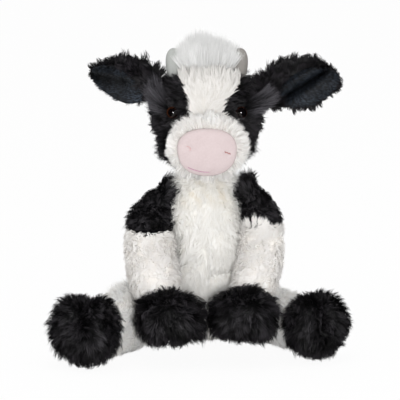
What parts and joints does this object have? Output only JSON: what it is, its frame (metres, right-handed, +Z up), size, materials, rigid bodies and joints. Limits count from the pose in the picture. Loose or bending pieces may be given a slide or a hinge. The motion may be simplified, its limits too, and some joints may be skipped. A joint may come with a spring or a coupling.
{
  "type": "plush cow",
  "caption": "Seated plush cow in black and white pile with velour nose, horns and ear linings; the head, ears, arms and legs turn.",
  "frame": {"origin": "middle of the seat's flat, on the surface that the cow sits on", "axes": "+Z up, -Y the way the face looks, +X the cow's own left"},
  "size_m": [0.2496, 0.1572, 0.267],
  "materials": {
    "black_pile": "long pile",
    "white_pile": "long pile",
    "pink_velour": "velour",
    "grey_velour": "velour",
    "slate_velour": "velour",
    "long_grey_hair": "long hair pile",
    "long_dark_hair": "long hair pile",
    "polyester_filling": "loose fibre",
    "pellet_cloth": "plain weave",
    "brown_eye": "gloss",
    "clear_plastic": "moulded",
    "rose_thread": "embroidery thread"
  },
  "bodies": {
    "torso": {"torso_skin": "white_pile", "torso_filling": "polyester_filling", "pellet_bag": "pellet_cloth"},
    "head": {"head_skin": "black_pile", "head_blaze": "white_pile", "head_filling": "polyester_filling", "muzzle_skin": "white_pile", "muzzle_filling": "polyester_filling", "nose_pad": "pink_velour", "nostril_left": "rose_thread", "nostril_right": "rose_thread", "mouth_stitch": "rose_thread", "topknot": "long_grey_hair", "eye_left": "brown_eye", "eye_washer_left": "clear_plastic", "horn_left": "grey_velour", "horn_filling_left": "polyester_filling", "ear_tuft_left": "long_dark_hair", "eye_right": "brown_eye", "eye_washer_right": "clear_plastic", "horn_right": "grey_velour", "horn_filling_right": "polyester_filling", "ear_tuft_right": "long_dark_hair"},
    "ear_body_left": {"ear_left": "black_pile", "ear_lining_left": "slate_velour"},
    "arm_left": {"shoulder_left": "black_pile", "sleeve_left": "white_pile", "front_hoof_left": "black_pile", "arm_filling_left": "polyester_filling"},
    "leg_body_left": {"leg_left": "white_pile", "rear_hoof_left": "black_pile", "leg_filling_left": "polyester_filling"},
    "ear_body_right": {"ear_right": "black_pile", "ear_lining_right": "slate_velour"},
    "arm_right": {"shoulder_right": "black_pile", "sleeve_right": "white_pile", "front_hoof_right": "black_pile", "arm_filling_right": "polyester_filling"},
    "leg_body_right": {"leg_right": "white_pile", "rear_hoof_right": "black_pile", "leg_filling_right": "polyester_filling"}
  },
  "joints": [
    {"name": "head_nod", "type": "hinge", "parent": "torso", "child": "head", "pos_m": [0, -0.006, 0.127], "axis": [1, 0, 0], "range_deg": [-10, 10]},
    {"name": "left_ear", "type": "hinge", "parent": "head", "child": "ear_body_left", "pos_m": [0.0505, -0.01, 0.216], "axis": [0, 1, 0], "range_deg": [-15, 15]},
    {"name": "right_ear", "type": "hinge", "parent": "head", "child": "ear_body_right", "pos_m": [-0.0475, -0.01, 0.223], "axis": [0, 1, 0], "range_deg": [-12, 15]},
    {"name": "left_shoulder", "type": "hinge", "parent": "torso", "child": "arm_left", "pos_m": [0.045, -0.003, 0.116], "axis": [-1, 0, 0], "range_deg": [0, 40]},
    {"name": "right_shoulder", "type": "hinge", "parent": "torso", "child": "arm_right", "pos_m": [-0.043, -0.003, 0.116], "axis": [-1, 0, 0], "range_deg": [0, 40]},
    {"name": "left_hip", "type": "hinge", "parent": "torso", "child": "leg_body_left", "pos_m": [0.049, 0.003, 0.0255], "axis": [0, 0, 1], "range_deg": [0, 30]},
    {"name": "right_hip", "type": "hinge", "parent": "torso", "child": "leg_body_right", "pos_m": [-0.049, -0.008, 0.0255], "axis": [0, 0, -1], "range_deg": [0, 30]}
  ]
}
